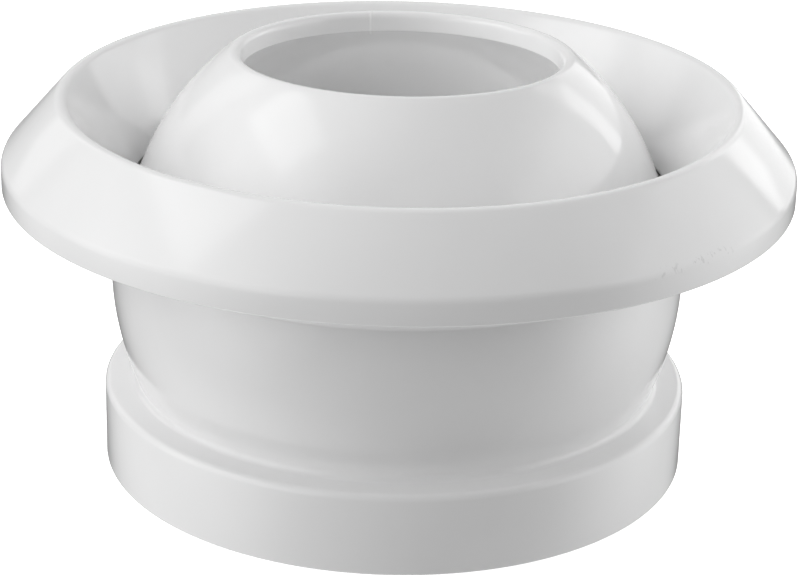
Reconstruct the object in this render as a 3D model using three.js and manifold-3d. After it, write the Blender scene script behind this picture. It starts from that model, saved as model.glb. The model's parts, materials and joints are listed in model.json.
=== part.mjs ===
// A ball-spout air vent in white ABS, at real size in millimetres, +Z up.
//
// The vent stands on the end of its duct collar with its face up. The origin is the
// centre of the collar's end face and +Z is the axis of the socket. A flared face ring
// and a socket housing hold a hollow ball between them; a felt ring under the funnel's
// throat seals and brakes it. Six screws from behind pull the two mouldings together.
import * as THREE from "three";
import { mergeVertices } from "three/addons/utils/BufferGeometryUtils.js";
import Module from "manifold-3d";

const wasm = await Module();
wasm.setup();

// ---- driving dimensions --------------------------------------------------------------
const RING_SIDES = 60; // flats round each large turned part
const SCREW_SIDES = 16;
const FIT_GAP = 0.3; // clear gap left between pieces that touch

const BALL_RADIUS = 45.7;
const BALL_CENTRE_Z = 33.45;
const BALL_WALL = 2.4;
const BALL_LEAN_DEG = 2; // the ball is stored leaning this far towards +Y
const NOZZLE_RADIUS = 26.3;
const NOZZLE_LIP_ROUND = 1.25;
const NOZZLE_SKIRT_RADIUS = 25.9; // the skirt narrows a little towards its lower end
const NOZZLE_SKIRT_Z = 32.8; // lower end of the nozzle's skirt, above the ball's centre
const BALL_REAR_ANGLE_DEG = 70; // from the rear pole to the ball's rear rim
const SPIGOT_HEIGHT = 3.5; // the rear ring's spigot inside the front shell
const SPIGOT_DEPTH = 4;
const SPIGOT_OUTER_RADIUS = 42.8;
const SPIGOT_WALL = 1.6;
const SPIGOT_STEP = 1; // from the foot of the spigot down to the top of the plain wall

const COLLAR_RADIUS = 49;
const COLLAR_WALL = 2;
const COLLAR_TOP_Z = 13.7;
const COLLAR_EDGE_ROUND = 1.1;
const COLLAR_FOOT_CHAMFER = 0.4;
const BOWL_OUTER_RADIUS = 47.6; // concentric with the ball
const BOWL_INNER_RADIUS = 46.05;
const LEDGE_FILLET = 0.9; // touches the ledge and the bowl
const LEDGE_THICKNESS = 2;

const FLANGE_RADIUS = 65.1;
const FLANGE_BACK_Z = 48.4;
const FLANGE_SHOULDER_Z = 51.8;
const FLANGE_SHOULDER_ROUND = 2;
const CREST_RADIUS = 55.35;
const CREST_Z = 63;
const CREST_ROUND = 1.4;
const THROAT_RADIUS = 44;
const THROAT_Z = 47.45;
const FACE_WALL = 2.2;

const PLATE_BACK_Z = 49.65;
const PLATE_TOP_Z = 51.65;
const PLATE_EDGE_GAP = 0.35;
const POCKET_RADIUS = 47.75;
const POCKET_FLOOR_Z = 43.15;
const NECK_RADIUS = 49.6;
const NECK_FLARE_LOW_Z = 40.45;
const NECK_FLARE_TOP_Z = 43.65;

const FELT_OUTER_RADIUS = 47.4;
const FELT_TOP_Z = 46.85;
const GASKET_INNER_RADIUS = 59.2;
const GASKET_OUTER_RADIUS = 62.2;
const GASKET_THICKNESS = 1.45;

const SCREW_COUNT = 6;
const SCREW_CIRCLE_RADIUS = 55.7;
const SCREW_HEAD_RADIUS = 2.8;
const SCREW_HEAD_HEIGHT = 1.8;
const SCREW_SHANK_RADIUS = 1.4;
const SCREW_TIP_Z = 57.65;
const SCREW_TIP_LENGTH = 1.2;
const SCREW_RECESS_RADIUS = 1.5;
const SCREW_RECESS_FLOOR_RADIUS = 0.75;
const SCREW_RECESS_DEPTH = 1;
const SCREW_CROWN_RADIUS = 2.1; // the flat of the head, inside its bevel
const SCREW_CROWN_HEIGHT = 0.72;
const SCREW_CLEARANCE = 0.35;
const BOSS_RADIUS = 3.4;
const HOLE_RADIUS = SCREW_SHANK_RADIUS + SCREW_CLEARANCE;
const CUT_OVERRUN = 1; // how far a hole's cutter runs past the face it leaves by

// ---- finishes ------------------------------------------------------------------------
const whiteAbs = { color: 0xeeeeec, roughness: 0.28, metalness: 0 };
const felt = { color: 0x8e8e8a, roughness: 0.95, metalness: 0 };
const foam = { color: 0x3c3d3f, roughness: 0.9, metalness: 0 };
const zincSteel = { color: 0xc2c5c8, roughness: 0.35, metalness: 1 };

// ---- profile helpers: points are (radius, height) ------------------------------------
const radians = THREE.MathUtils.degToRad;
const point = (radius, height) => new THREE.Vector2(radius, height);

// Points on a circular arc, both ends included; angles in degrees from +radius.
function arc(centre, radius, startDeg, endDeg, steps) {
  return Array.from({ length: steps + 1 }, (_, i) => {
    const angle = radians(startDeg + ((endDeg - startDeg) * i) / steps);
    return point(centre.x + radius * Math.cos(angle), centre.y + radius * Math.sin(angle));
  });
}

// Height at which a sphere has the given ring radius, or its ring radius at a given height.
const sphereHeight = (sphereRadius, ringRadius) => Math.sqrt(sphereRadius ** 2 - ringRadius ** 2);

// Angle in degrees above the equator at which a sphere reaches the given height.
const latitude = (sphereRadius, height) => THREE.MathUtils.radToDeg(Math.asin(height / sphereRadius));

// The direction of a vector, in degrees from +radius.
const directionDeg = (vector) => THREE.MathUtils.radToDeg(Math.atan2(vector.y, vector.x));

// A straight line shifted sideways, to its right as it runs from a to b.
function shiftLine(a, b, distance) {
  const along = b.clone().sub(a).normalize();
  const side = point(along.y, -along.x).multiplyScalar(distance);
  return [a.clone().add(side), b.clone().add(side)];
}

// The point of the line through a and b at the given height.
const atHeight = ([a, b], height) => a.clone().lerp(b, (height - a.y) / (b.y - a.y));

// Where two lines, each given by two points, cross.
function crossing([a, b], [c, d]) {
  const ab = b.clone().sub(a);
  const cd = d.clone().sub(c);
  const t = c.clone().sub(a).cross(cd) / ab.cross(cd);
  return a.clone().addScaledVector(ab, t);
}

// The direction of the outward normal of the outer tangent from one circle to another.
function tangentNormalDeg(centreA, radiusA, centreB, radiusB) {
  const between = centreB.clone().sub(centreA);
  const swing = Math.acos((radiusA - radiusB) / between.length());
  return directionDeg(between) + THREE.MathUtils.radToDeg(swing);
}

// The direction of the normal of the tangent from a circle to a point, on its left side.
function tangentToPointDeg(centre, radius, target) {
  const between = target.clone().sub(centre);
  return directionDeg(between) - THREE.MathUtils.radToDeg(Math.acos(radius / between.length()));
}

// ---- solid helpers -------------------------------------------------------------------
// A closed profile turned about Z. The profile is run clockwise so that faces point out.
function turned(profile, sides = RING_SIDES) {
  const loop = THREE.ShapeUtils.isClockWise(profile) ? [...profile].reverse() : [...profile];
  loop.push(loop[0].clone());
  const geometry = new THREE.LatheGeometry(loop, sides);
  geometry.rotateX(Math.PI / 2);
  return geometry;
}

function toSolid(geometry) {
  const bare = geometry.clone();
  bare.deleteAttribute("normal");
  bare.deleteAttribute("uv");
  const merged = mergeVertices(bare, 1e-4);
  const vertProperties = new Float32Array(merged.attributes.position.array);
  const triVerts = new Uint32Array(merged.index.array);
  return new wasm.Manifold(new wasm.Mesh({ numProp: 3, vertProperties, triVerts }));
}

function toGeometry(solid) {
  const mesh = solid.getMesh();
  const geometry = new THREE.BufferGeometry();
  geometry.setAttribute("position", new THREE.BufferAttribute(mesh.vertProperties, 3));
  geometry.setIndex(new THREE.BufferAttribute(mesh.triVerts, 1));
  geometry.computeVertexNormals();
  return geometry;
}

function uprightCylinder(radius, lowZ, highZ, x, y) {
  const geometry = new THREE.CylinderGeometry(radius, radius, highZ - lowZ, SCREW_SIDES);
  geometry.rotateX(Math.PI / 2);
  geometry.translate(x, y, (lowZ + highZ) / 2);
  return toSolid(geometry);
}

function screwPlaces() {
  return Array.from({ length: SCREW_COUNT }, (_, i) => {
    const angle = (2 * Math.PI * (i + 0.5)) / SCREW_COUNT;
    return point(SCREW_CIRCLE_RADIUS * Math.cos(angle), SCREW_CIRCLE_RADIUS * Math.sin(angle));
  });
}

function piece(name, geometry, finish) {
  const mesh = new THREE.Mesh(geometry, new THREE.MeshStandardMaterial(finish));
  mesh.name = name;
  return mesh;
}

// ---- face ring -----------------------------------------------------------------------
const crestCentre = point(CREST_RADIUS, CREST_Z - CREST_ROUND);
const shoulderCentre = point(FLANGE_RADIUS - FLANGE_SHOULDER_ROUND, FLANGE_SHOULDER_Z);
const throatEdge = point(THROAT_RADIUS, THROAT_Z);
const coneNormalDeg = tangentNormalDeg(
  crestCentre, CREST_ROUND, shoulderCentre, FLANGE_SHOULDER_ROUND);
const funnelNormalDeg = tangentToPointDeg(crestCentre, CREST_ROUND, throatEdge) + 360;

// The crest from the outer cone over to the funnel, and the shoulder under the cone.
const crestArc = arc(crestCentre, CREST_ROUND, coneNormalDeg, funnelNormalDeg, 5);
const shoulderArc = arc(shoulderCentre, FLANGE_SHOULDER_ROUND, 0, coneNormalDeg, 3);

// The hidden side of the outer cone and of the funnel, one wall thickness in.
const coneInside = shiftLine(crestArc[0], shoulderArc.at(-1), FACE_WALL);
const funnelBack = shiftLine(crestArc.at(-1), throatEdge, -FACE_WALL);
const hiddenApex = crossing(coneInside, funnelBack);

function faceRing() {
  const bandInsideRadius = FLANGE_RADIUS - FACE_WALL;
  const profile = [
    point(bandInsideRadius, FLANGE_BACK_Z),
    point(FLANGE_RADIUS, FLANGE_BACK_Z),
    ...shoulderArc,
    ...crestArc,
    throatEdge,
    point(THROAT_RADIUS + FIT_GAP, THROAT_Z - FIT_GAP),
    atHeight(funnelBack, THROAT_Z - FIT_GAP),
    hiddenApex,
    point(bandInsideRadius, coneInside[1].y),
  ];
  // Bosses grow from the hidden side into the walls, but stay under the visible skin.
  const bossLimit = toSolid(turned([
    atHeight(shiftLine(...funnelBack, FACE_WALL / 2), PLATE_TOP_Z + FIT_GAP),
    crossing(shiftLine(...coneInside, -FACE_WALL / 2), shiftLine(...funnelBack, FACE_WALL / 2)),
    atHeight(shiftLine(...coneInside, -FACE_WALL / 2), PLATE_TOP_Z + FIT_GAP),
  ]));
  let solid = toSolid(turned(profile));
  for (const { x, y } of screwPlaces()) {
    const boss = uprightCylinder(BOSS_RADIUS, PLATE_TOP_Z + FIT_GAP, CREST_Z, x, y);
    solid = solid.add(boss.intersect(bossLimit));
  }
  for (const { x, y } of screwPlaces()) {
    solid = solid.subtract(uprightCylinder(HOLE_RADIUS, PLATE_BACK_Z, SCREW_TIP_Z + FIT_GAP, x, y));
  }
  return piece("face_ring", toGeometry(solid), whiteAbs);
}

// ---- socket housing: duct collar, bowl, seal pocket and screw plate -------------------
function bowlArc(radius, lowZ, highZ, steps) {
  const centre = point(0, BALL_CENTRE_Z);
  const lowDeg = latitude(radius, lowZ - BALL_CENTRE_Z);
  const highDeg = latitude(radius, highZ - BALL_CENTRE_Z);
  return arc(centre, radius, lowDeg, highDeg, steps);
}

// The fillet in the corner between the ledge and the bowl, from the ledge upwards.
function ledgeFillet() {
  const centreZ = COLLAR_TOP_Z + LEDGE_FILLET;
  const centreRadius = sphereHeight(BOWL_OUTER_RADIUS + LEDGE_FILLET, BALL_CENTRE_Z - centreZ);
  const towardsBallDeg = directionDeg(point(-centreRadius, BALL_CENTRE_Z - centreZ));
  return arc(point(centreRadius, centreZ), LEDGE_FILLET, 270, towardsBallDeg, 4);
}

function socketHousing() {
  const ledgeUndersideZ = COLLAR_TOP_Z - LEDGE_THICKNESS;
  const edgeCentre = point(COLLAR_RADIUS - COLLAR_EDGE_ROUND, COLLAR_TOP_Z - COLLAR_EDGE_ROUND);
  const plateRadius = FLANGE_RADIUS - FACE_WALL - PLATE_EDGE_GAP;
  const seat = shiftLine(...funnelBack, -FIT_GAP);
  const fillet = ledgeFillet();
  const profile = [
    point(COLLAR_RADIUS - COLLAR_WALL, 0),
    point(COLLAR_RADIUS - COLLAR_FOOT_CHAMFER, 0),
    point(COLLAR_RADIUS, COLLAR_FOOT_CHAMFER),
    ...arc(edgeCentre, COLLAR_EDGE_ROUND, 0, 90, 3),
    ...fillet,
    ...bowlArc(BOWL_OUTER_RADIUS, fillet.at(-1).y, NECK_FLARE_LOW_Z, 6).slice(1),
    point(NECK_RADIUS, NECK_FLARE_TOP_Z),
    point(NECK_RADIUS, PLATE_BACK_Z),
    point(plateRadius, PLATE_BACK_Z),
    point(plateRadius, PLATE_TOP_Z),
    atHeight(seat, PLATE_TOP_Z),
    crossing(seat, [point(POCKET_RADIUS, 0), point(POCKET_RADIUS, PLATE_TOP_Z)]),
    point(POCKET_RADIUS, POCKET_FLOOR_Z),
    ...bowlArc(BOWL_INNER_RADIUS, POCKET_FLOOR_Z, ledgeUndersideZ, 7),
    point(COLLAR_RADIUS - COLLAR_WALL, ledgeUndersideZ),
  ];
  let solid = toSolid(turned(profile));
  for (const { x, y } of screwPlaces()) {
    solid = solid.subtract(uprightCylinder(HOLE_RADIUS, FLANGE_BACK_Z, PLATE_TOP_Z + CUT_OVERRUN, x, y));
  }
  return piece("socket_housing", toGeometry(solid), whiteAbs);
}

// ---- ball: two mouldings in their own frame, about the ball's centre ------------------
const ballCentre = point(0, 0);
const jointHalfGap = FIT_GAP / 2;

function ballFrontShell() {
  const innerRadius = BALL_RADIUS - BALL_WALL;
  const lipRadius = NOZZLE_RADIUS + NOZZLE_LIP_ROUND;
  const lipCentre = point(lipRadius, sphereHeight(BALL_RADIUS - NOZZLE_LIP_ROUND, lipRadius));
  const lipDeg = directionDeg(lipCentre);
  const skirtOuterRadius = sphereHeight(innerRadius, NOZZLE_SKIRT_Z);
  const profile = [
    ...arc(ballCentre, BALL_RADIUS, latitude(BALL_RADIUS, jointHalfGap), lipDeg, 8),
    ...arc(lipCentre, NOZZLE_LIP_ROUND, lipDeg, 180, 4).slice(1),
    point(NOZZLE_SKIRT_RADIUS, NOZZLE_SKIRT_Z),
    point(skirtOuterRadius, NOZZLE_SKIRT_Z),
    ...arc(ballCentre, innerRadius, latitude(innerRadius, NOZZLE_SKIRT_Z),
      latitude(innerRadius, jointHalfGap), 7).slice(1),
  ];
  return piece("ball_front_shell", turned(profile), whiteAbs);
}

function ballRearRing() {
  const innerRadius = BALL_RADIUS - BALL_WALL;
  const rimDeg = BALL_REAR_ANGLE_DEG - 90;
  const rimZ = BALL_RADIUS * Math.sin(radians(rimDeg));
  const spigotInnerRadius = SPIGOT_OUTER_RADIUS - SPIGOT_WALL;
  const profile = [
    ...arc(ballCentre, BALL_RADIUS, rimDeg, latitude(BALL_RADIUS, -jointHalfGap), 4),
    point(SPIGOT_OUTER_RADIUS, -jointHalfGap),
    point(SPIGOT_OUTER_RADIUS, SPIGOT_HEIGHT),
    point(spigotInnerRadius, SPIGOT_HEIGHT),
    point(spigotInnerRadius, -SPIGOT_DEPTH),
    ...arc(ballCentre, innerRadius, latitude(innerRadius, -SPIGOT_DEPTH - SPIGOT_STEP),
      latitude(innerRadius, rimZ), 3),
  ];
  return piece("ball_rear_ring", turned(profile), whiteAbs);
}

function ball() {
  const group = new THREE.Group();
  group.position.set(0, 0, BALL_CENTRE_Z);
  group.rotation.x = -radians(BALL_LEAN_DEG);
  group.add(ballFrontShell(), ballRearRing());
  return group;
}

// ---- seals ---------------------------------------------------------------------------
function feltSealRing() {
  const lowZ = POCKET_FLOOR_Z + FIT_GAP;
  const profile = [
    point(FELT_OUTER_RADIUS, lowZ),
    point(FELT_OUTER_RADIUS, FELT_TOP_Z),
    ...bowlArc(BOWL_INNER_RADIUS, FELT_TOP_Z, lowZ, 2),
  ];
  return piece("felt_seal_ring", turned(profile), felt);
}

function wallGasket() {
  const topZ = PLATE_BACK_Z - FIT_GAP;
  const profile = [
    point(GASKET_INNER_RADIUS, topZ - GASKET_THICKNESS),
    point(GASKET_OUTER_RADIUS, topZ - GASKET_THICKNESS),
    point(GASKET_OUTER_RADIUS, topZ),
    point(GASKET_INNER_RADIUS, topZ),
  ];
  return piece("wall_gasket", turned(profile), foam);
}

// ---- screws: pan heads under the plate, tips in the face ring's bosses -----------------
function screwGeometry() {
  const headTopZ = PLATE_BACK_Z - FIT_GAP;
  const headLowZ = headTopZ - SCREW_HEAD_HEIGHT;
  const profile = [
    point(0, headLowZ + SCREW_RECESS_DEPTH),
    point(SCREW_RECESS_FLOOR_RADIUS, headLowZ + SCREW_RECESS_DEPTH),
    point(SCREW_RECESS_RADIUS, headLowZ),
    point(SCREW_CROWN_RADIUS, headLowZ),
    point(SCREW_HEAD_RADIUS, headLowZ + SCREW_CROWN_HEIGHT),
    point(SCREW_HEAD_RADIUS, headTopZ),
    point(SCREW_SHANK_RADIUS, headTopZ),
    point(SCREW_SHANK_RADIUS, SCREW_TIP_Z - SCREW_TIP_LENGTH),
    point(0, SCREW_TIP_Z),
  ];
  const geometry = new THREE.LatheGeometry(profile, SCREW_SIDES);
  geometry.rotateX(Math.PI / 2);
  return geometry;
}

function screws() {
  return screwPlaces().map(({ x, y }, i) => {
    const screw = piece(`screw_${i + 1}`, screwGeometry(), zincSteel);
    screw.position.set(x, y, 0);
    return screw;
  });
}

// ---- assembly ------------------------------------------------------------------------
const vent = new THREE.Group();
vent.add(faceRing(), socketHousing(), ball(), feltSealRing(), wallGasket(), ...screws());

export default vent;
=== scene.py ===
"""Looks of the ball-spout air vent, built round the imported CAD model."""

import json
import math

import bpy
from mathutils import Matrix, Vector


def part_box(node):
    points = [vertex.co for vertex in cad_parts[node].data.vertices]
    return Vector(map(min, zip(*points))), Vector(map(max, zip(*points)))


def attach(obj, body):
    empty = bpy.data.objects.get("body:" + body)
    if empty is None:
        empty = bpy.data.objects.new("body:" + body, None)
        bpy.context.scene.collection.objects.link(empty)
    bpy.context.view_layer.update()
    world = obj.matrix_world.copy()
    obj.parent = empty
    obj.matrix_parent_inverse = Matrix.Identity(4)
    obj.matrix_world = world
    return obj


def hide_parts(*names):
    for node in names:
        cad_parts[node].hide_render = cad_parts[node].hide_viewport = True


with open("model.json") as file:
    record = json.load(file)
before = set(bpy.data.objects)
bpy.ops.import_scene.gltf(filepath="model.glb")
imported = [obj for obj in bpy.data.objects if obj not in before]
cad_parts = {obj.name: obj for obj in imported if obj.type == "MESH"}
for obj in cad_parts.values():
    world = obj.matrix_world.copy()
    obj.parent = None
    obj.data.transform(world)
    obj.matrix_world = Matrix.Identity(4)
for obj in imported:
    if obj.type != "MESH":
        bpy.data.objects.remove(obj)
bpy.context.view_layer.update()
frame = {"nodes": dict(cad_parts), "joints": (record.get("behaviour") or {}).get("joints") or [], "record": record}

# ---- places and sizes: profiles are drawn in millimetres, (radius, height) ---------------
MM = 0.001
MOUNTS = {mount["name"]: mount for mount in frame["record"]["mounts"]}
JOINTS = {joint["name"]: joint for joint in frame["joints"]}


def top_of(node):
    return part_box(node)[1].z / MM


def bottom_of(node):
    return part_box(node)[0].z / MM


def radius_of(node):
    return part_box(node)[1].x / MM


ROUND_STEPS = 240                # flats round each large turned piece
SMALL_ROUND_STEPS = 48           # flats round each boss, hole and screw
FILLET_STEPS = 6                 # flats along each rounded corner
FILLET_ROOM = 0.48               # the most of a side that one corner's rounding may use
SHARP_DEG = 32                   # edges folded more than this stay sharp
EDGE_ROUND = 0.3                 # ordinary moulded edges; the other roundings have names
FIT_GAP = 0.3

BALL_CENTRE_Z = JOINTS["tilt"]["pos_m"][2] / MM
BALL_LEAN_DEG = sum(JOINTS["tilt"]["range_deg"]) / 2   # the stored ball leans towards +Y
BALL_RADIUS = radius_of("ball_front_shell")
BALL_WALL = 2.4
BALL_INNER_RADIUS = BALL_RADIUS - BALL_WALL
NOZZLE_RADIUS = 26.3
NOZZLE_LIP_ROUND = 1.25
NOZZLE_SKIRT_RADIUS = 25.9
NOZZLE_SKIRT_Z = 32.8            # above the ball's centre
NOZZLE_SKIRT_ROUNDS = (0.35, 0.15)    # inner and outer corner of the skirt's foot
BALL_RIM_ANGLE_DEG = -20         # latitude of the rear rim
BALL_RIM_ROUND = 0.5
SPIGOT_RADIUS = 42.8
SPIGOT_WALL = 1.6
SPIGOT_TOP_Z = 3.5
SPIGOT_FOOT_Z = -4.0
SPIGOT_SLOPE = 1                 # height of the slope from the spigot's foot to the ball's wall
SPIGOT_SEAT_ROUND = 0.1          # outside, where the spigot meets the rear ring's edge
SPIGOT_FOOT_ROUND = 0.4

FLANGE_RADIUS = radius_of("face_ring")
FLANGE_BACK_Z = MOUNTS["flange_back"]["pos_m"][2] / MM
FLANGE_BACK_ROUND = 0.4
SHOULDER_Z = 51.8                # centre of the shoulder's rounding
SHOULDER_ROUND = 2.0
CREST_RADIUS = 55.35             # centre of the crest's rounding
CREST_Z = 63.0                   # top of the crest
CREST_ROUND = 1.4
THROAT = (44.0, 47.45)           # radius and height of the funnel's lower edge
THROAT_EDGE_SHIFT = (0.02, 0.1)  # from the throat's foot to the corner that is rounded
THROAT_ROUND = 0.4
FACE_WALL = 2.2
CREST_HOLLOW_ROUND = 0.6         # behind the crest
SHOULDER_HOLLOW_ROUND = 0.8      # behind the shoulder

COLLAR_RADIUS = 49.0
COLLAR_WALL = 2.0
COLLAR_TOP_Z = 13.7
COLLAR_EDGE_ROUND = 1.1
COLLAR_FOOT_ROUND = 0.45
LEDGE_FILLET = 0.9               # touches the ledge and the bowl
LEDGE_THICKNESS = 2.0
LEDGE_INSIDE_ROUND = 0.8
BOWL_OUTER_RADIUS = 47.6
BOWL_INNER_RADIUS = 46.05
BOWL_TOP_ROUND = 0.9
NECK_RADIUS = 49.6
NECK_FLARE_Z = (40.45, 43.65)
NECK_FLARE_ROUND = 1.2
NECK_TOP_ROUND = 1.0             # under the screw plate
POCKET_RADIUS = 47.75
POCKET_FLOOR_Z = bottom_of("felt_seal_ring") - FIT_GAP
POCKET_FLOOR_ROUND = 0.2
PLATE_RADIUS = radius_of("socket_housing")
PLATE_Z = (49.65, 51.65)         # the screw plate's underside and top

FELT_OUTER_ROUND = 0.4
FELT_FUZZ = 0.05                 # how far the felt's surface wanders
GASKET_WIDTH = 3.0
GASKET_FREE_ROUND = 0.35         # on the side that meets the panel
GASKET_SEAT_ROUND = 0.1          # on the side in the flange
GASKET_CUT_WAVES = (0.04, 0.03)  # how far the foam's cut edge wanders

SCREWS = sorted(name for name in frame["nodes"] if name.startswith("screw_"))
SCREW_HEAD_RADIUS = 2.8
SCREW_HEAD_HEIGHT = 1.8
SCREW_SHANK_RADIUS = 1.4
SCREW_THREAD_DEPTH = 0.32
SCREW_PITCH = 1.1
SCREW_FACE_SHARE = 0.62          # the head's flat face, as a share of its radius
SCREW_SIDE_SHARE = 0.45          # where the head's side begins, as a share of its height
SCREW_NECK_SHARE = 0.9           # the shank right under the head, as a share of its radius
SCREW_TIP_SHARE = 0.3            # the shank near its tip, as a share of the thread's root
SCREW_TIP_LENGTH = 0.1
SCREW_HEAD_ROUND = 0.5
SCREW_SEAT_ROUND = 0.15
THREAD_ROWS = 8                  # rows of vertices along each turn of thread
THREAD_START = 0.4               # plain shank next to the head
THREAD_MARGIN = 1.2              # shank without thread, both ends together
THREAD_STEEPNESS = 3.2           # of the thread's flanks
RECESS_MOUTH = (1.65, 0.36)      # half length and half width of each slot of the cross
RECESS_FLOOR = (0.75, 0.24)
RECESS_DEPTH = 1.1
RECESS_OVERRUN = 0.2             # how far outside the head the cutter's mouth is
FIRST_SCREW_TURN_DEG = 17        # how far the first screw's recess is turned
NEXT_SCREW_TURN_DEG = 41         # and how much further each next one is
BOSS_RADIUS = 3.4
BOSS_TOP_Z = 58.0
HOLE_RADIUS = 1.75
HOLE_OVERRUN = 1                 # how far a cutter reaches past the plate

# ---- camera, lights and stage, in metres ---------------------------------------------------
CAMERA_PLACE = (0.0, -0.4024, 0.1896)
CAMERA_TARGET = (0.0006, 0.0, 0.0284)
CAMERA_ROLL_DEG = 1.37
CAMERA_LENS_MM = 115.8
FLOOR_SIZE = 12.0
FLOOR_GLOW = 0.75
LIGHTS_AIM = (0.0, 0.0, 0.06)
SOFTBOXES = (                    # name, place, (width, height), watts
    ("left_lamp", (-0.21, -0.02, 0.30), (0.20, 0.12), 0.13),
    ("left_strip", (-0.23, 0.19, 0.18), (0.08, 0.20), 0.025),
    ("right_high", (0.20, 0.15, 0.17), (0.05, 0.18), 0.03),
    ("right_low", (0.17, 0.19, 0.11), (0.15, 0.18), 0.09),
    ("right_wall", (0.30, 0.0, 0.14), (0.35, 0.25), 0.14),
)
TENT_GLOW_SPREAD_DEG = 50
TENT_GLOWS = {                   # name: (azimuth, elevation, strength)
    "left_wall": (-65, 12, 1.8),
    "front": (-5, 10, 0.45),
    "right_wall": (95, 10, 1.7),
    "back_wall": (180, 25, 0.7),
    "left_roof": (-100, 55, 1.1),
    "under_left": (-100, -40, 0.3),
    "under_right": (110, -40, 0.7),
    "below": (-90, -75, 1.2),
}


# ---- outlines --------------------------------------------------------------------------------
def arc(centre, radius, start_deg, end_deg, steps):
    """Corners along a circular arc, both ends included, as (radius, height, fillet 0)."""
    corners = []
    for i in range(steps + 1):
        angle = math.radians(start_deg + (end_deg - start_deg) * i / steps)
        corners.append((centre[0] + radius * math.cos(angle),
                        centre[1] + radius * math.sin(angle), 0.0))
    return corners


def latitude(sphere_radius, height):
    """Degrees above a sphere's equator at a height over its centre."""
    return math.degrees(math.asin(height / sphere_radius))


def fillet_corner(before, corner, after, radius):
    """Points of the arc that rounds one corner of an outline."""
    to_before = (before - corner).normalized()
    to_after = (after - corner).normalized()
    half_angle = math.acos(max(-1.0, min(1.0, to_before.dot(to_after)))) / 2
    reach = radius / math.tan(half_angle)
    room = FILLET_ROOM * min((before - corner).length, (after - corner).length)
    if reach > room:
        radius *= room / reach
        reach = room
    middle = (to_before + to_after).normalized()
    centre = corner + middle * (radius / math.sin(half_angle))
    start = corner + to_before * reach - centre
    end = corner + to_after * reach - centre
    sweep = start.angle_signed(end)
    turns = [-sweep * i / FILLET_STEPS for i in range(FILLET_STEPS + 1)]
    return [centre + Matrix.Rotation(turn, 2) @ start for turn in turns]


def outline(corners):
    """A closed outline from (radius, height, fillet) corners."""
    places = [Vector(corner[:2]) for corner in corners]
    points = []
    for i, (place, corner) in enumerate(zip(places, corners)):
        if corner[2] > 0:
            after = places[(i + 1) % len(places)]
            points += fillet_corner(places[i - 1], place, after, corner[2])
        else:
            points.append(place)
    return points


def line_at(a, b, height):
    """The point of the line through a and b at a height."""
    a, b = Vector(a), Vector(b)
    return a + (b - a) * ((height - a.y) / (b.y - a.y))


def shifted(a, b, distance):
    """The line through a and b, moved to its right."""
    a, b = Vector(a), Vector(b)
    along = (b - a).normalized()
    side = Vector((along.y, -along.x)) * distance
    return a + side, b + side


def crossing(first, second):
    """Where two lines meet, each given by two of its points."""
    (a, b), (c, d) = first, second
    ab = b - a
    cd = d - c
    t = (c - a).cross(cd) / ab.cross(cd)
    return a + ab * t


def upright(radius):
    """The line parallel to the axis at a radius."""
    return Vector((radius, 0)), Vector((radius, 1))


def tangent_line(centre, radius, faces):
    """Two points of the line that touches a circle where its outward normal has this angle."""
    normal = Vector((math.cos(faces), math.sin(faces)))
    touch = centre + normal * radius
    return touch, touch + Vector((-normal.y, normal.x))


def bezel_corners():
    """Where the outer cone meets the flange's edge, and the funnel, before any rounding."""
    crest = Vector((CREST_RADIUS, CREST_Z - CREST_ROUND))
    to_shoulder = Vector((FLANGE_RADIUS - SHOULDER_ROUND, SHOULDER_Z)) - crest
    to_throat = Vector(THROAT) - crest
    swing = math.acos((CREST_ROUND - SHOULDER_ROUND) / to_shoulder.length)
    cone_faces = math.atan2(to_shoulder.y, to_shoulder.x) + swing
    funnel_faces = math.atan2(to_throat.y, to_throat.x) - math.acos(CREST_ROUND / to_throat.length)
    cone = tangent_line(crest, CREST_ROUND, cone_faces)
    funnel = tangent_line(crest, CREST_ROUND, funnel_faces)
    return crossing(cone, upright(FLANGE_RADIUS)), crossing(cone, funnel)


SHOULDER_CORNER, CREST_CORNER = bezel_corners()


# ---- meshes ------------------------------------------------------------------------------------
def link(name, data):
    """A new object in the scene that holds a mesh, a light or a camera."""
    obj = bpy.data.objects.new(name, data)
    bpy.context.scene.collection.objects.link(obj)
    return obj


def smooth(obj):
    obj.data.shade_smooth()
    obj.data.set_sharp_from_angle(angle=math.radians(SHARP_DEG))
    return obj


def turned(name, points, steps=ROUND_STEPS, ripple=None):
    """A closed outline, or one that starts and ends on the axis, turned about Z."""
    doubled_area = sum(a.x * b.y - b.x * a.y for a, b in zip(points, points[1:] + points[:1]))
    if doubled_area < 0:
        points = points[::-1]
    vertices = []
    for step in range(steps):
        angle = 2 * math.pi * step / steps
        for i, p in enumerate(points):
            radius = p.x + (ripple(angle, i) if ripple else 0.0)
            vertices.append((radius * math.cos(angle) * MM, radius * math.sin(angle) * MM, p.y * MM))
    count = len(points)
    faces = []
    for step in range(steps):
        here = step * count
        there = ((step + 1) % steps) * count
        for i in range(count):
            j = (i + 1) % count
            faces.append((here + i, there + i, there + j, here + j))
    mesh = bpy.data.meshes.new(name)
    mesh.from_pydata(vertices, [], faces)
    mesh.validate()
    return smooth(link(name, mesh))


def plain_cylinder(radius, low_z, high_z, x, y):
    """Vertices and faces of an upright cylinder, in millimetres."""
    steps = SMALL_ROUND_STEPS
    rings = []
    for z in (low_z, high_z):
        for i in range(steps):
            angle = 2 * math.pi * i / steps
            rings.append((x + radius * math.cos(angle), y + radius * math.sin(angle), z))
    faces = [tuple(range(steps))[::-1], tuple(range(steps, 2 * steps))]
    faces += [(i, (i + 1) % steps, steps + (i + 1) % steps, steps + i) for i in range(steps)]
    return rings, faces


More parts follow.
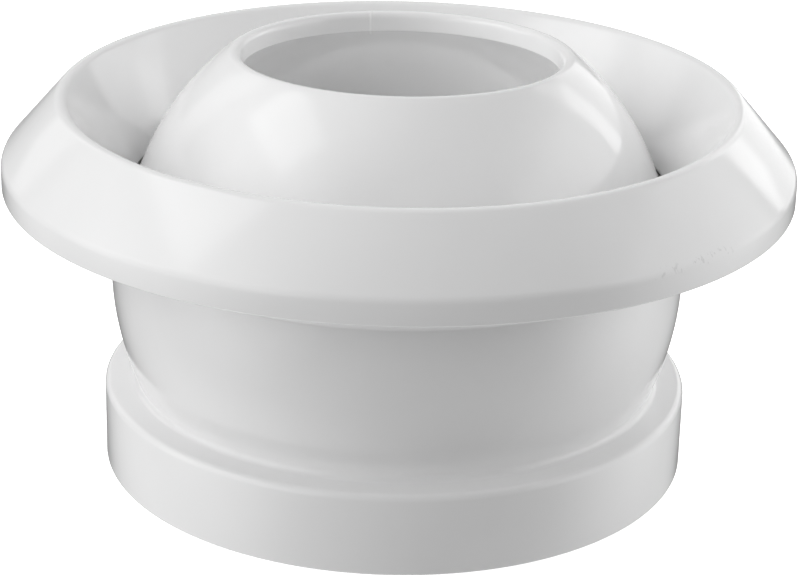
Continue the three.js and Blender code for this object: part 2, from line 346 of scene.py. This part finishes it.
def cylinders(name, places, radius, low_z, high_z):
    """One mesh of equal upright cylinders, one at each place."""
    vertices = []
    faces = []
    for x, y in places:
        ring, sides = plain_cylinder(radius, low_z, high_z, x, y)
        faces += [tuple(len(vertices) + i for i in face) for face in sides]
        vertices += [tuple(c * MM for c in v) for v in ring]
    mesh = bpy.data.meshes.new(name)
    mesh.from_pydata(vertices, [], faces)
    return link(name, mesh)


def combine(target, tool, operation):
    """Joins a tool mesh to the target or cuts it away, and removes the tool."""
    modifier = target.modifiers.new("combine", "BOOLEAN")
    modifier.operation = operation
    modifier.solver = "EXACT"
    modifier.object = tool
    bpy.context.view_layer.update()
    evaluated = target.evaluated_get(bpy.context.evaluated_depsgraph_get())
    result = bpy.data.meshes.new_from_object(evaluated)
    target.modifiers.clear()
    old = target.data
    target.data = result
    bpy.data.meshes.remove(old)
    bpy.data.objects.remove(tool)
    return smooth(target)


def screw_places():
    """Where each screw's axis is, in millimetres."""
    places = []
    for name in SCREWS:
        low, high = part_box(name)
        middle = (low + high) / (2 * MM)
        places.append((middle.x, middle.y))
    return places


# ---- pieces ------------------------------------------------------------------------------------
def face_ring():
    """Outer cone, crest, funnel and throat, hollow behind, with the screw bosses."""
    cone_inside = shifted(CREST_CORNER, SHOULDER_CORNER, FACE_WALL)
    funnel_back = shifted(CREST_CORNER, THROAT, -FACE_WALL)
    apex = crossing(cone_inside, funnel_back)
    band_inside = FLANGE_RADIUS - FACE_WALL
    inside_shoulder = crossing(cone_inside, upright(band_inside))
    throat_foot_z = THROAT[1] - FIT_GAP
    throat_back = line_at(*funnel_back, throat_foot_z)
    profile = outline([
        (band_inside, FLANGE_BACK_Z, EDGE_ROUND),
        (FLANGE_RADIUS, FLANGE_BACK_Z, FLANGE_BACK_ROUND),
        (*SHOULDER_CORNER, SHOULDER_ROUND),
        (*CREST_CORNER, CREST_ROUND),
        (THROAT[0] + THROAT_EDGE_SHIFT[0], throat_foot_z + THROAT_EDGE_SHIFT[1], THROAT_ROUND),
        (*throat_back, EDGE_ROUND),
        (*apex, CREST_HOLLOW_ROUND),
        (*inside_shoulder, SHOULDER_HOLLOW_ROUND),
    ])
    ring = turned("bezel", profile)
    places = screw_places()
    plate_top = PLATE_Z[1] + FIT_GAP
    combine(ring, cylinders("bosses", places, BOSS_RADIUS, plate_top, BOSS_TOP_Z), "UNION")
    pilot_top = top_of(SCREWS[0]) + FIT_GAP
    combine(ring, cylinders("pilots", places, HOLE_RADIUS, PLATE_Z[0], pilot_top), "DIFFERENCE")
    return ring


def bowl_arc(radius, low_z, high_z, steps):
    """An arc about the ball's centre, between two heights."""
    low_deg = latitude(radius, low_z - BALL_CENTRE_Z)
    high_deg = latitude(radius, high_z - BALL_CENTRE_Z)
    return arc((0.0, BALL_CENTRE_Z), radius, low_deg, high_deg, steps)


def ledge_fillet():
    """The fillet in the corner between the ledge and the bowl, from the ledge upwards."""
    centre_z = COLLAR_TOP_Z + LEDGE_FILLET
    drop = BALL_CENTRE_Z - centre_z
    centre_radius = math.sqrt((BOWL_OUTER_RADIUS + LEDGE_FILLET) ** 2 - drop ** 2)
    towards_ball_deg = math.degrees(math.atan2(drop, -centre_radius))
    return arc((centre_radius, centre_z), LEDGE_FILLET, 270, towards_ball_deg, 10)


def socket_housing():
    """Duct collar, ledge, bowl, seal pocket and screw plate in one moulding."""
    collar_inside = COLLAR_RADIUS - COLLAR_WALL
    ledge_under_z = COLLAR_TOP_Z - LEDGE_THICKNESS
    seat = shifted(CREST_CORNER, THROAT, -FACE_WALL - FIT_GAP)
    seat_top = line_at(*seat, PLATE_Z[1])
    seat_foot = crossing(seat, upright(POCKET_RADIUS))
    fillet = ledge_fillet()
    bowl = bowl_arc(BOWL_OUTER_RADIUS, fillet[-1][1], NECK_FLARE_Z[0], steps=22)[1:]
    bowl[-1] = (*bowl[-1][:2], BOWL_TOP_ROUND)
    profile = outline([
        (collar_inside, 0.0, EDGE_ROUND),
        (COLLAR_RADIUS, 0.0, COLLAR_FOOT_ROUND),
        (COLLAR_RADIUS, COLLAR_TOP_Z, COLLAR_EDGE_ROUND),
        *fillet,
        *bowl,
        (NECK_RADIUS, NECK_FLARE_Z[1], NECK_FLARE_ROUND),
        (NECK_RADIUS, PLATE_Z[0], NECK_TOP_ROUND),
        (PLATE_RADIUS, PLATE_Z[0], EDGE_ROUND),
        (PLATE_RADIUS, PLATE_Z[1], EDGE_ROUND),
        (*seat_top, EDGE_ROUND),
        (*seat_foot, EDGE_ROUND),
        (POCKET_RADIUS, POCKET_FLOOR_Z, POCKET_FLOOR_ROUND),
        *bowl_arc(BOWL_INNER_RADIUS, POCKET_FLOOR_Z, ledge_under_z, steps=26),
        (collar_inside, ledge_under_z, LEDGE_INSIDE_ROUND),
    ])
    housing = turned("socket", profile)
    holes_from = PLATE_Z[0] - HOLE_OVERRUN
    holes_to = PLATE_Z[1] + HOLE_OVERRUN
    holes = cylinders("plate_holes", screw_places(), HOLE_RADIUS, holes_from, holes_to)
    return combine(housing, holes, "DIFFERENCE")


def put_on_ball(obj):
    """Moves a piece drawn about the ball's centre to its stored, leaning place."""
    lean = Matrix.Rotation(-math.radians(BALL_LEAN_DEG), 4, "X")
    obj.data.transform(Matrix.Translation((0, 0, BALL_CENTRE_Z * MM)) @ lean)
    return obj


def ball_front_shell():
    """Dome with the nozzle's rounded lip and the short skirt inside it."""
    lip_radius = NOZZLE_RADIUS + NOZZLE_LIP_ROUND
    lip_z = math.sqrt((BALL_RADIUS - NOZZLE_LIP_ROUND) ** 2 - lip_radius ** 2)
    lip_deg = math.degrees(math.atan2(lip_z, lip_radius))
    skirt_outer = math.sqrt(BALL_INNER_RADIUS ** 2 - NOZZLE_SKIRT_Z ** 2)
    skirt_deg = latitude(BALL_INNER_RADIUS, NOZZLE_SKIRT_Z)
    foot_deg = latitude(BALL_RADIUS, FIT_GAP / 2)
    inner_foot_deg = latitude(BALL_INNER_RADIUS, FIT_GAP / 2)
    profile = outline([
        *arc((0, 0), BALL_RADIUS, foot_deg, lip_deg, steps=28),
        *arc((lip_radius, lip_z), NOZZLE_LIP_ROUND, lip_deg, 180, steps=10)[1:],
        (NOZZLE_SKIRT_RADIUS, NOZZLE_SKIRT_Z, NOZZLE_SKIRT_ROUNDS[0]),
        (skirt_outer, NOZZLE_SKIRT_Z, NOZZLE_SKIRT_ROUNDS[1]),
        *arc((0, 0), BALL_INNER_RADIUS, skirt_deg, inner_foot_deg, steps=26)[1:],
    ])
    return put_on_ball(turned("ball_dome", profile))


def ball_rear_ring():
    """Rear of the ball, with the spigot that locates it inside the dome."""
    rim_z = BALL_RADIUS * math.sin(math.radians(BALL_RIM_ANGLE_DEG))
    spigot_inner = SPIGOT_RADIUS - SPIGOT_WALL
    top_deg = latitude(BALL_RADIUS, -FIT_GAP / 2)
    inner_start_deg = latitude(BALL_INNER_RADIUS, SPIGOT_FOOT_Z - SPIGOT_SLOPE)
    inner_rim_deg = latitude(BALL_INNER_RADIUS, rim_z)
    outer = arc((0, 0), BALL_RADIUS, BALL_RIM_ANGLE_DEG, top_deg, steps=10)
    inner = arc((0, 0), BALL_INNER_RADIUS, inner_start_deg, inner_rim_deg, steps=8)
    outer[0] = (*outer[0][:2], BALL_RIM_ROUND)
    inner[-1] = (*inner[-1][:2], BALL_RIM_ROUND)
    profile = outline([
        *outer,
        (SPIGOT_RADIUS, -FIT_GAP / 2, SPIGOT_SEAT_ROUND),
        (SPIGOT_RADIUS, SPIGOT_TOP_Z, EDGE_ROUND),
        (spigot_inner, SPIGOT_TOP_Z, EDGE_ROUND),
        (spigot_inner, SPIGOT_FOOT_Z, SPIGOT_FOOT_ROUND),
        *inner,
    ])
    return put_on_ball(turned("ball_rear", profile))


def felt_seal_ring():
    """Pressed felt in the pocket under the throat; its inner face follows the ball."""
    low_z = bottom_of("felt_seal_ring")
    high_z = top_of("felt_seal_ring")
    inner = bowl_arc(BOWL_INNER_RADIUS, high_z, low_z, steps=6)
    inner[0] = (*inner[0][:2], EDGE_ROUND)
    inner[-1] = (*inner[-1][:2], EDGE_ROUND)
    outer_radius = radius_of("felt_seal_ring")
    profile = outline([
        (outer_radius, low_z, FELT_OUTER_ROUND),
        (outer_radius, high_z, FELT_OUTER_ROUND),
        *inner,
    ])

    def fuzz(angle, i):
        """Two waves that each go round a whole number of times, so the ring closes."""
        return FELT_FUZZ * math.sin(37 * angle + 2.1 * i) * math.sin(11 * angle + 0.7 * i)

    return turned("felt_ring", profile, ripple=fuzz)


def wall_gasket():
    """Closed-cell foam strip laid in the back of the flange."""
    low_z = bottom_of("wall_gasket")
    high_z = top_of("wall_gasket")
    outer_radius = radius_of("wall_gasket")
    inner_radius = outer_radius - GASKET_WIDTH
    profile = outline([
        (inner_radius, low_z, GASKET_FREE_ROUND),
        (outer_radius, low_z, GASKET_FREE_ROUND),
        (outer_radius, high_z, GASKET_SEAT_ROUND),
        (inner_radius, high_z, GASKET_SEAT_ROUND),
    ])

    def cut_edge(angle, i):
        """Two waves that each go round a whole number of times, so the strip closes."""
        coarse, fine = GASKET_CUT_WAVES
        return coarse * math.sin(23 * angle + i) + fine * math.sin(61 * angle)

    return turned("foam_gasket", profile, ripple=cut_edge)


def screw_mesh(name):
    """A pan-head screw about its own axis, head down, with a rolled thread."""
    head_top = PLATE_Z[0] - FIT_GAP
    head_low = head_top - SCREW_HEAD_HEIGHT
    tip_z = top_of(SCREWS[0])
    head = outline([
        (0.0, head_low, 0.0),
        (SCREW_HEAD_RADIUS * SCREW_FACE_SHARE, head_low, SCREW_HEAD_ROUND),
        (SCREW_HEAD_RADIUS, head_low + SCREW_HEAD_HEIGHT * SCREW_SIDE_SHARE, SCREW_HEAD_ROUND),
        (SCREW_HEAD_RADIUS, head_top, SCREW_SEAT_ROUND),
        (SCREW_SHANK_RADIUS * SCREW_NECK_SHARE, head_top, SCREW_SEAT_ROUND),
    ])
    root = SCREW_SHANK_RADIUS - SCREW_THREAD_DEPTH
    rows = int((tip_z - head_top - THREAD_MARGIN) / SCREW_PITCH * THREAD_ROWS)
    start_z = head_top + THREAD_START
    shank = [Vector((root, start_z + SCREW_PITCH * row / THREAD_ROWS)) for row in range(rows)]
    tip = [Vector((root * SCREW_TIP_SHARE, tip_z - SCREW_TIP_LENGTH)), Vector((0.0, tip_z))]
    points = head + shank + tip
    first = len(head)
    last = first + len(shank) - 1

    def thread(angle, i):
        """A ridge that climbs one pitch in each turn, and none at the shank's two ends."""
        if not first < i < last:
            return 0.0
        phase = (points[i].y / SCREW_PITCH - angle / (2 * math.pi)) % 1.0
        return SCREW_THREAD_DEPTH * max(0.0, 1 - abs(phase - 0.5) * THREAD_STEEPNESS)

    return turned(name, points, steps=SMALL_ROUND_STEPS, ripple=thread)


def cross_recess(name):
    """The cutter for a screw's cross recess, about the screw's own axis."""
    low = PLATE_Z[0] - FIT_GAP - SCREW_HEAD_HEIGHT
    ends = ((low - RECESS_OVERRUN, *RECESS_MOUTH), (low + RECESS_DEPTH, *RECESS_FLOOR))
    vertices = []
    faces = []
    for crossed in (False, True):
        k = len(vertices)
        for z, length, width in ends:
            for x, y in ((length, width), (-length, width), (-length, -width), (length, -width)):
                place = (-y, x, z) if crossed else (x, y, z)
                vertices.append(tuple(value * MM for value in place))
        faces += [(k + 3, k + 2, k + 1, k), (k + 4, k + 5, k + 6, k + 7)]
        faces += [(k + i, k + (i + 1) % 4, k + 4 + (i + 1) % 4, k + 4 + i) for i in range(4)]
    mesh = bpy.data.meshes.new(name)
    mesh.from_pydata(vertices, [], faces)
    return link(name, mesh)


def screws():
    """Each screw at its place, with its recess turned its own way, and its node's name."""
    made = []
    for index, (name, (x, y)) in enumerate(zip(SCREWS, screw_places())):
        screw = combine(screw_mesh(f"pan_{name}"), cross_recess("recess"), "DIFFERENCE")
        turn_deg = FIRST_SCREW_TURN_DEG + NEXT_SCREW_TURN_DEG * index
        turn = Matrix.Rotation(math.radians(turn_deg), 4, "Z")
        screw.data.transform(Matrix.Translation((x * MM, y * MM, 0)) @ turn)
        made.append((screw, name))
    return made


# ---- materials -----------------------------------------------------------------------------------
class Finish:
    """A principled material and short calls that wire procedural detail into it."""

    def __init__(self, name, **values):
        self.material = bpy.data.materials.new(name)
        self.material.use_nodes = True
        self.tree = self.material.node_tree
        self.shader = self.tree.nodes["Principled BSDF"]
        self.place = self.node("ShaderNodeTexCoord").outputs["Object"]
        self.peel = []           # the surface's own bumps, which a mark is added to
        for socket, value in values.items():
            self.shader.inputs[socket.replace("_", " ")].default_value = value

    def node(self, kind, **values):
        """A new node; each value goes to the input socket of that name, or else to the node."""
        made = self.tree.nodes.new(kind)
        for name, value in values.items():
            if name in made.inputs.keys():
                made.inputs[name].default_value = value
            else:
                setattr(made, name, value)
        return made

    def join(self, output, socket):
        self.tree.links.new(output, socket)

    def noise(self, scale, detail, roughness=0.5, stretch=(1, 1, 1)):
        """Soft noise from 0 to 1, with about this many waves in a metre."""
        mapping = self.node("ShaderNodeMapping")
        mapping.inputs["Scale"].default_value = stretch
        self.join(self.place, mapping.inputs["Vector"])
        noise = self.node("ShaderNodeTexNoise", Scale=scale, Detail=detail, Roughness=roughness)
        self.join(mapping.outputs["Vector"], noise.inputs["Vector"])
        return noise.outputs["Fac"]

    def cells(self, scale):
        """Distance from the middle of each of many small cells."""
        cells = self.node("ShaderNodeTexVoronoi", Scale=scale)
        self.join(self.place, cells.inputs["Vector"])
        return cells.outputs["Distance"]

    def ramp(self, factor, low, high, low_value, high_value):
        """Maps factor from [low, high] to [low_value, high_value], smoothly and clamped."""
        ranged = self.node("ShaderNodeMapRange", interpolation_type="SMOOTHSTEP")
        for socket, value in zip(("From Min", "From Max", "To Min", "To Max"),
                                 (low, high, low_value, high_value)):
            ranged.inputs[socket].default_value = value
        self.join(factor, ranged.inputs["Value"])
        return ranged.outputs["Result"]

    def times(self, first, second):
        made = self.node("ShaderNodeMath", operation="MULTIPLY")
        self.join(first, made.inputs[0])
        self.join(second, made.inputs[1])
        return made.outputs["Value"]

    def axis(self, name):
        """One coordinate of the surface, X, Y or Z, in metres."""
        split = self.node("ShaderNodeSeparateXYZ")
        self.join(self.place, split.inputs["Vector"])
        return split.outputs[name]

    def azimuth(self):
        """Degrees round the vent from the front, positive to the right."""
        turn = self.node("ShaderNodeMath", operation="ARCTAN2")
        back = self.node("ShaderNodeMath", operation="MULTIPLY")
        back.inputs[1].default_value = -1.0
        self.join(self.axis("Y"), back.inputs[0])
        self.join(self.axis("X"), turn.inputs[0])
        self.join(back.outputs["Value"], turn.inputs[1])
        degrees = self.node("ShaderNodeMath", operation="DEGREES")
        self.join(turn.outputs["Value"], degrees.inputs[0])
        return degrees.outputs["Value"]

    def between(self, value, low, high, fade):
        """1 where value lies from low to high, fading to 0 on either side."""
        return self.times(self.ramp(value, low - fade, low, 0, 1),
                          self.ramp(value, high, high + fade, 1, 0))

    def colour(self, factor, first, second):
        """The base colour, from first where factor is 0 to second where it is 1."""
        mix = self.node("ShaderNodeMix", data_type="RGBA")
        mix.inputs["A"].default_value = (*first, 1)
        mix.inputs["B"].default_value = (*second, 1)
        self.join(factor, mix.inputs["Factor"])
        self.join(mix.outputs["Result"], self.shader.inputs["Base Color"])

    def mark(self, mask, colour, depth):
        """Lays a coloured mark over the base colour and adds it to the bumps."""
        mix = self.node("ShaderNodeMix", data_type="RGBA")
        base = self.shader.inputs["Base Color"].links[0].from_socket
        mix.inputs["B"].default_value = (*colour, 1)
        self.join(mask, mix.inputs["Factor"])
        self.join(base, mix.inputs["A"])
        self.join(mix.outputs["Result"], self.shader.inputs["Base Color"])
        self.bump([*self.peel, (mask, depth)])

    def bump(self, heights):
        """Stacks (height output, depth in millimetres) pairs into one bumped normal."""
        normal = None
        for height, depth in heights:
            bump = self.node("ShaderNodeBump", Distance=depth * MM, Strength=1.0)
            self.join(height, bump.inputs["Height"])
            if normal is not None:
                self.join(normal, bump.inputs["Normal"])
            normal = bump.outputs["Normal"]
        self.join(normal, self.shader.inputs["Normal"])


ABS_WHITE = (0.87, 0.87, 0.871)
ABS_SHADE = (0.85, 0.85, 0.851)
ABS_MARK = (0.74, 0.74, 0.74)
ABS_SEAM = (0.93, 0.93, 0.93)
FELT_DARK = (0.30, 0.30, 0.29)
FELT_LIGHT = (0.52, 0.52, 0.50)
FOAM_DARK = (0.018, 0.018, 0.02)
FOAM_LIGHT = (0.06, 0.06, 0.064)
ZINC_LIGHT = (0.70, 0.71, 0.73)
ZINC_DARK = (0.55, 0.57, 0.60)

SCUFF_Z = (0.0522, 0.0530)       # in metres, on the shoulder's rounding
SCUFF_Z_FADE = 0.0005
SCUFF_AZIMUTH_DEG = (38, 48)     # from the front, positive to the right
SCUFF_AZIMUTH_FADE = 5
SCUFF_DEPTH = 0.008              # in millimetres
SEAM_X = (-0.00565, -0.00545)    # in metres
SEAM_X_FADE = 0.00015
SEAM_STARTS_Y = (0.015, 0.020)   # in metres; the seam is on the far side only
SEAM_Z = (0.0640, 0.0690)        # in metres, from below the bore's foot up to its lip
SEAM_Z_FADE = 0.0006
SEAM_DEPTH = 0.05                # in millimetres


def moulded_abs(name):
    """Glossy white ABS: faint orange peel, flow clouds and uneven sheen."""
    finish = Finish(name, IOR=1.5)
    clouds = finish.ramp(finish.noise(38, detail=4), 0.35, 0.7, 0, 1)
    finish.colour(clouds, ABS_WHITE, ABS_SHADE)
    sheen = finish.ramp(finish.noise(120, detail=6, roughness=0.6), 0.3, 0.75, 0.12, 0.17)
    finish.join(sheen, finish.shader.inputs["Roughness"])
    finish.peel = [(finish.noise(420, detail=2), 0.004), (finish.noise(1900, detail=1), 0.001)]
    finish.bump(finish.peel)
    return finish


def scuffed_shell():
    """The body's ABS, with small rubbed nicks along the shoulder at the front right."""
    finish = moulded_abs("white_abs")
    shoulder = finish.between(finish.axis("Z"), *SCUFF_Z, SCUFF_Z_FADE)
    right_front = finish.between(finish.azimuth(), *SCUFF_AZIMUTH_DEG, SCUFF_AZIMUTH_FADE)
    nicks = finish.ramp(finish.noise(1500, detail=3, stretch=(1, 1, 0.5)), 0.56, 0.64, 0, 1)
    place = finish.times(shoulder, right_front)
    finish.mark(finish.times(nicks, place), ABS_MARK, SCUFF_DEPTH)
    return finish.material


def seamed_ball():
    """The ball's ABS, with the mould's hairline down the far side of the nozzle's bore."""
    finish = moulded_abs("white_abs_ball")
    hairline = finish.between(finish.axis("X"), *SEAM_X, SEAM_X_FADE)
    far_side = finish.ramp(finish.axis("Y"), *SEAM_STARTS_Y, 0, 1)
    bore = finish.between(finish.axis("Z"), *SEAM_Z, SEAM_Z_FADE)
    place = finish.times(far_side, bore)
    finish.mark(finish.times(hairline, place), ABS_SEAM, SEAM_DEPTH)
    return finish.material


def pressed_felt():
    """Grey felt, with fibres that lie along the ring."""
    finish = Finish("grey_felt", Roughness=0.95)
    fibres = finish.noise(900, detail=8, roughness=0.75, stretch=(1, 1, 3))
    finish.colour(finish.ramp(fibres, 0.3, 0.7, 0, 1), FELT_DARK, FELT_LIGHT)
    finish.bump([(fibres, 0.12), (finish.noise(3000, detail=4), 0.05)])
    return finish.material


def closed_cell_foam():
    """Black foam with fine pores."""
    finish = Finish("black_foam", Roughness=0.85)
    pores = finish.cells(1500)
    finish.colour(finish.ramp(pores, 0.1, 0.6, 0, 1), FOAM_DARK, FOAM_LIGHT)
    finish.bump([(pores, 0.12), (finish.noise(300, detail=3), 0.05)])
    return finish.material


def zinc_plate():
    """Zinc-plated steel, with a cloudy bloom and uneven gloss."""
    finish = Finish("zinc_steel", Metallic=1.0)
    bloom = finish.noise(700, detail=5)
    finish.colour(finish.ramp(bloom, 0.35, 0.7, 0, 1), ZINC_LIGHT, ZINC_DARK)
    grain = finish.ramp(finish.noise(2500, detail=3), 0.3, 0.7, 0.24, 0.42)
    finish.join(grain, finish.shader.inputs["Roughness"])
    finish.bump([(finish.noise(1800, detail=3), 0.01)])
    return finish.material


def dress(obj, material, body, slot, *nodes):
    """Gives a piece its material, its body and the nodes it stands for; the slot is not used."""
    obj.data.materials.clear()
    obj.data.materials.append(material)
    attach(obj, body)
    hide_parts(*nodes)


def build_vent():
    """Makes every piece and says what it is made of and what it moves with."""
    shell = scuffed_shell()
    ball = seamed_ball()
    dress(face_ring(), shell, "vent_body", "white_abs", "face_ring")
    dress(socket_housing(), shell, "vent_body", "white_abs", "socket_housing")
    dress(ball_front_shell(), ball, "ball", "white_abs_ball", "ball_front_shell")
    dress(ball_rear_ring(), ball, "ball", "white_abs_ball", "ball_rear_ring")
    dress(felt_seal_ring(), pressed_felt(), "seal_carrier", "grey_felt", "felt_seal_ring")
    dress(wall_gasket(), closed_cell_foam(), "vent_body", "black_foam", "wall_gasket")
    steel = zinc_plate()
    for screw, node in screws():
        dress(screw, steel, "vent_body", "zinc_steel", node)


# ---- stage -----------------------------------------------------------------------------------------
def aimed(place, target):
    """The matrix of a camera or lamp that stands at a place and faces a target."""
    facing = (Vector(target) - Vector(place)).to_track_quat("-Z", "Y")
    return Matrix.Translation(place) @ facing.to_matrix().to_4x4()


def camera():
    data = bpy.data.cameras.new("camera")
    data.lens = CAMERA_LENS_MM
    obj = link("camera", data)
    roll = Matrix.Rotation(math.radians(CAMERA_ROLL_DEG), 4, "Z")
    obj.matrix_world = aimed(CAMERA_PLACE, CAMERA_TARGET) @ roll
    bpy.context.scene.camera = obj


def toward(azimuth_deg, elevation_deg):
    """The direction towards a place seen from the vent; azimuth 0 is the front, 90 the right."""
    azimuth = math.radians(azimuth_deg)
    elevation = math.radians(elevation_deg)
    level = math.cos(elevation)
    return Vector((math.sin(azimuth) * level, -math.cos(azimuth) * level, math.sin(elevation)))


def softbox(name, place, size, power):
    """A rectangular lamp that faces the vent and isn't seen itself."""
    data = bpy.data.lights.new(name, "AREA")
    data.shape = "RECTANGLE"
    data.size, data.size_y = size
    data.energy = power
    obj = link(name, data)
    obj.matrix_world = aimed(place, LIGHTS_AIM)
    obj.visible_camera = False


def soft_patch(tree, direction, azimuth_deg, elevation_deg, strength):
    """One bright patch of the tent, which fades out over its spread."""
    dot = tree.nodes.new("ShaderNodeVectorMath")
    dot.operation = "DOT_PRODUCT"
    dot.inputs[1].default_value = toward(azimuth_deg, elevation_deg)
    tree.links.new(direction, dot.inputs[0])
    glow = tree.nodes.new("ShaderNodeMapRange")
    glow.interpolation_type = "SMOOTHSTEP"
    glow.inputs["From Min"].default_value = math.cos(math.radians(TENT_GLOW_SPREAD_DEG))
    glow.inputs["From Max"].default_value = 1.0
    glow.inputs["To Max"].default_value = strength
    tree.links.new(dot.outputs["Value"], glow.inputs["Value"])
    return glow.outputs["Result"]


def tent():
    """A dark tent with soft bright patches on its cloth, as a world background."""
    made = bpy.data.worlds.new("tent")
    made.use_nodes = True
    tree = made.node_tree
    direction = tree.nodes.new("ShaderNodeTexCoord").outputs["Generated"]
    patches = [soft_patch(tree, direction, *glow) for glow in TENT_GLOWS.values()]
    total = patches[0]
    for patch in patches[1:]:
        add = tree.nodes.new("ShaderNodeMath")
        tree.links.new(patch, add.inputs[0])
        tree.links.new(total, add.inputs[1])
        total = add.outputs["Value"]
    background = tree.nodes["Background"]
    background.inputs["Color"].default_value = (1, 1, 1, 1)
    tree.links.new(total, background.inputs["Strength"])
    bpy.context.scene.world = made


def floor():
    """A bright paper floor that throws no light back on the vent."""
    half = FLOOR_SIZE / 2
    mesh = bpy.data.meshes.new("floor")
    mesh.from_pydata([(-half, -half, 0), (half, -half, 0), (half, half, 0), (-half, half, 0)],
                     [], [(0, 1, 2, 3)])
    obj = link("floor", mesh)
    finish = Finish("floor_paper", Base_Color=(0.9, 0.9, 0.9, 1), Roughness=1.0,
                    Emission_Color=(1, 1, 1, 1), Emission_Strength=FLOOR_GLOW)
    mesh.materials.append(finish.material)
    obj.visible_diffuse = False
    obj.visible_glossy = False
    obj.visible_shadow = False


def stage():
    camera()
    tent()
    floor()
    for light in SOFTBOXES:
        softbox(*light)
    bpy.context.scene.view_settings.view_transform = "Standard"


build_vent()
stage()
